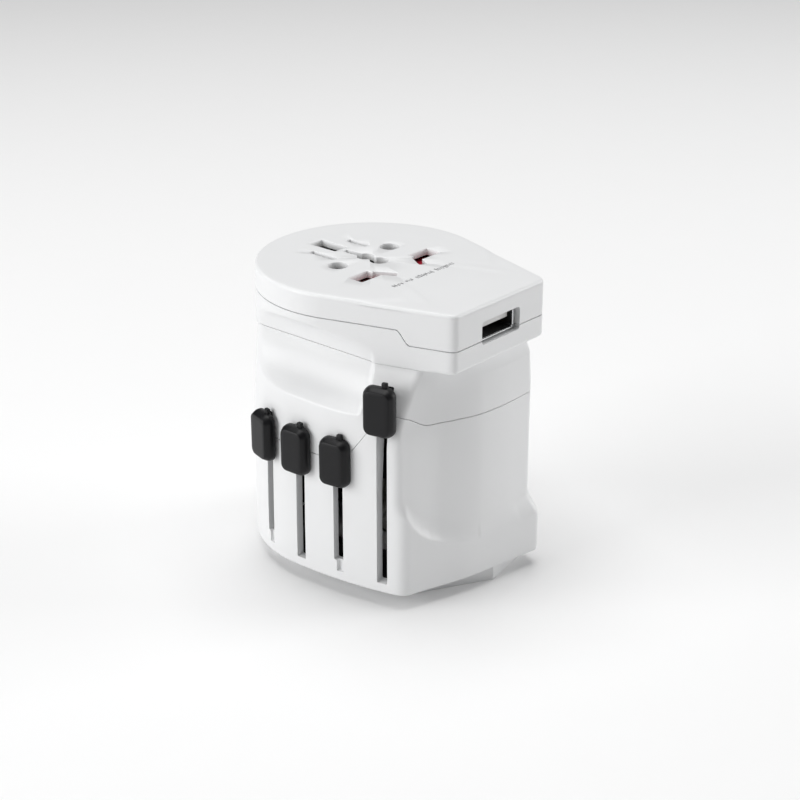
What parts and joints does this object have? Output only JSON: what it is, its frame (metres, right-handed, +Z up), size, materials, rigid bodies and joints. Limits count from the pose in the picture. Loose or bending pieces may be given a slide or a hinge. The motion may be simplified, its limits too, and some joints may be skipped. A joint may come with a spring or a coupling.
{
  "type": "universal travel adapter",
  "caption": "Travel adapter block with pull-down plug sets on side sliders, a multi-standard socket face with a sprung red shutter and a charging port in the nose.",
  "frame": {"origin": "on the resting face, midway between the two round socket holes above it", "axes": "+Z up through the socket face, -Y towards the nose with the charging port, -X towards the slider face"},
  "size_m": [0.0637, 0.0725, 0.077],
  "materials": {
    "white_shell": "satin",
    "white_cover": "satin",
    "slider_charcoal": "soft touch",
    "inner_black": "matt",
    "sleeve_black": "matt",
    "pin_metal": "bright nickel plated",
    "contact_brass": "bright",
    "steel": "bright",
    "shutter_red": "satin",
    "port_metal": "bright",
    "port_black": "satin",
    "gold": "bright",
    "board_green": "satin",
    "coil_yellow": "satin",
    "can_blue": "satin",
    "chip_black": "matt",
    "fuse_glass": "clear"
  },
  "bodies": {
    "housing": {"top_cover": "white_cover", "head_tray": "white_shell", "upper_body": "white_shell", "lower_body": "white_shell", "base_plate": "white_shell", "guide_rods": "steel", "guide_bridge": "inner_black", "contact_tub": "inner_black", "contact_line": "contact_brass", "contact_neutral": "contact_brass", "contact_earth": "contact_brass", "shutter_spring": "steel", "shutter_stop": "white_shell", "port_shell": "port_metal", "port_tongue": "port_black", "port_contacts": "gold", "circuit_board": "board_green", "transformer": "coil_yellow", "capacitors": "can_blue", "chips": "chip_black", "fuse_tube": "fuse_glass", "fuse_caps": "port_metal", "fuse_clips": "contact_brass", "body_screws": "steel"},
    "plug_1": {"slider_1": "slider_charcoal", "carriage_1": "inner_black", "pins_1": "pin_metal", "pin_sleeves_1": "sleeve_black"},
    "plug_2": {"slider_2": "slider_charcoal", "carriage_2": "inner_black", "pins_2": "pin_metal"},
    "plug_3": {"slider_3": "slider_charcoal", "carriage_3": "inner_black", "pins_3": "pin_metal"},
    "plug_4": {"slider_4": "slider_charcoal", "carriage_4": "inner_black", "pins_4": "pin_metal"},
    "shutter": {"shutter": "shutter_red"}
  },
  "joints": [
    {"name": "slider_1_travel", "type": "slide", "parent": "housing", "child": "plug_1", "axis": [0, 0, -1], "range_m": [0, 0.0203]},
    {"name": "slider_2_travel", "type": "slide", "parent": "housing", "child": "plug_2", "axis": [0, 0, -1], "range_m": [0, 0.0233]},
    {"name": "slider_3_travel", "type": "slide", "parent": "housing", "child": "plug_3", "axis": [0, 0, -1], "range_m": [0, 0.0203]},
    {"name": "slider_4_travel", "type": "slide", "parent": "housing", "child": "plug_4", "axis": [0, 0, -1], "range_m": [0, 0.038]},
    {"name": "shutter_travel", "type": "slide", "parent": "housing", "child": "shutter", "axis": [0, -1, 0], "range_m": [0, 0.0085], "stiffness_N_per_m": 60, "springref_m": -0.002, "deforming": ["shutter_spring"]}
  ]
}
